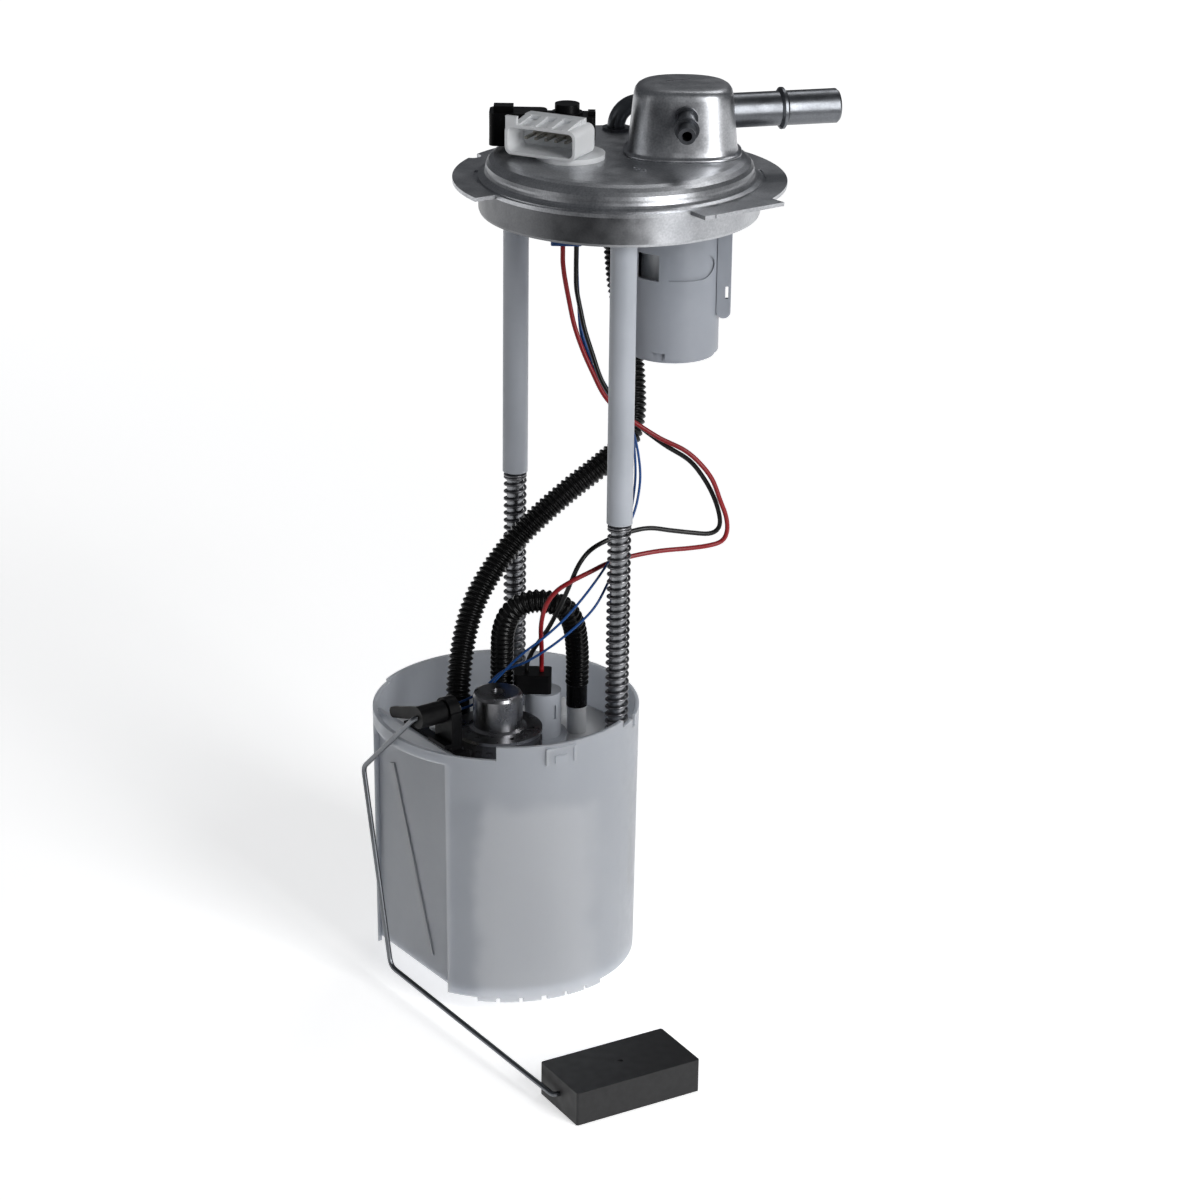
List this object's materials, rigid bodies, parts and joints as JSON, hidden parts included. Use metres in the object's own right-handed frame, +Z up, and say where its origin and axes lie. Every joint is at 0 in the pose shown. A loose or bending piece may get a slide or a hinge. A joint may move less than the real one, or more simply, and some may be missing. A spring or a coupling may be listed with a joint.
{
  "type": "in-tank fuel pump module",
  "caption": "In-tank fuel pump module: steel flange with ports, guide rods with springs, sliding reservoir with pump and regulator, and a float arm level sender.",
  "frame": {"origin": "centre of the mounting ring on the plane of the tank seat, the underside of the ring", "axes": "+Z up out of the tank along the guide rods, +X from the reservoir side towards the dome side, with the two guide rods mirrored across the XZ plane"},
  "size_m": [0.2263, 0.234, 0.4218],
  "materials": {
    "zinc_steel": "zinc plated drawn sheet, satin",
    "tube_steel": "plated tube, turned end",
    "rod_steel": "ground steel rod",
    "spring_steel": "drawn wire",
    "white_plastic": "moulded acetal",
    "sleeve_plastic": "extruded white tube",
    "valve_plastic": "moulded grey white acetal",
    "natural_plastic": "milky natural plastic",
    "black_plastic": "moulded black",
    "blue_plastic": "moulded blue",
    "seal_rubber": "moulded rubber",
    "hose_nylon": "corrugated nylon",
    "wire_red_skin": "extruded insulation",
    "wire_black_skin": "extruded insulation",
    "wire_blue_skin": "extruded insulation",
    "contact_brass": "stamped brass",
    "ceramic_card": "fired ceramic with printed tracks",
    "magnet": "sintered ferrite",
    "winding": "enamelled copper",
    "can_steel": "drawn steel can",
    "float_foam": "closed cell nitrile foam",
    "filter_cloth": "woven nylon sock"
  },
  "bodies": {
    "flange": {"mounting_ring": "zinc_steel", "flange_cap": "zinc_steel", "flange_skirt": "zinc_steel", "vapour_dome": "zinc_steel", "vapour_tube": "tube_steel", "vent_nipple": "tube_steel", "fuel_outlet_tube": "tube_steel", "connector_shell": "white_plastic", "connector_pins": "contact_brass", "pressure_sensor": "black_plastic", "sensor_seal": "seal_rubber", "inner_plug": "blue_plastic", "vent_valve_body": "valve_plastic", "vent_valve_base": "valve_plastic", "vent_valve_spring": "spring_steel", "vent_bracket": "valve_plastic", "guide_rod_left": "rod_steel", "guide_rod_right": "rod_steel", "guide_sleeve_left": "sleeve_plastic", "guide_sleeve_right": "sleeve_plastic", "rod_clip_left": "spring_steel", "rod_clip_right": "spring_steel", "guide_spring_left": "spring_steel", "guide_spring_right": "spring_steel", "fuel_hose": "hose_nylon", "wire_red": "wire_red_skin", "wire_black": "wire_black_skin", "wire_blue_1": "wire_blue_skin", "wire_blue_2": "wire_blue_skin", "hose_stub": "black_plastic"},
    "vent_float": {"vent_valve_float": "white_plastic"},
    "reservoir": {"reservoir_bucket": "natural_plastic", "holder_plate": "white_plastic", "hose_fitting": "black_plastic", "jet_pump": "white_plastic", "regulator_cap": "can_steel", "regulator_flange": "can_steel", "regulator_body": "black_plastic", "pump_can": "can_steel", "pump_top": "white_plastic", "pump_inlet": "white_plastic", "pump_magnets": "magnet", "pump_plug": "black_plastic", "inlet_strainer": "filter_cloth", "sender_housing": "black_plastic", "sender_card": "ceramic_card", "pump_hose": "hose_nylon"},
    "pump_rotor": {"pump_shaft": "rod_steel", "pump_armature": "winding", "pump_impeller": "black_plastic"},
    "float_arm": {"sender_rotor": "black_plastic", "sender_wiper": "contact_brass", "float_wire": "rod_steel"},
    "float": {"float_block": "float_foam"}
  },
  "joints": [
    {"name": "reservoir_slide", "type": "slide", "parent": "flange", "child": "reservoir", "axis": [0, 0, 1], "range_m": [0, 0.045], "stiffness_N_per_m": 250, "springref_m": -0.04, "deforming": ["guide_spring_left", "guide_spring_right", "fuel_hose", "wire_red", "wire_black", "wire_blue_1", "wire_blue_2"]},
    {"name": "float_arm_hinge", "type": "hinge", "parent": "reservoir", "child": "float_arm", "pos_m": [-0.115, -0.022, -0.2286], "axis": [-1, 0, 0], "range_deg": [0, 65]},
    {"name": "float_swivel", "type": "hinge", "parent": "float_arm", "child": "float", "pos_m": [-0.105, -0.1358, -0.3698], "axis": [1, 0, 0], "range_deg": [-35, 35]},
    {"name": "pump_rotor_spin", "type": "hinge", "parent": "reservoir", "child": "pump_rotor", "pos_m": [-0.05, -0.001, -0.3], "axis": [0, 0, 1], "continuous": true},
    {"name": "vent_float_lift", "type": "slide", "parent": "flange", "child": "vent_float", "axis": [0, 0, 1], "range_m": [0, 0.006], "deforming": ["vent_valve_spring"]}
  ]
}
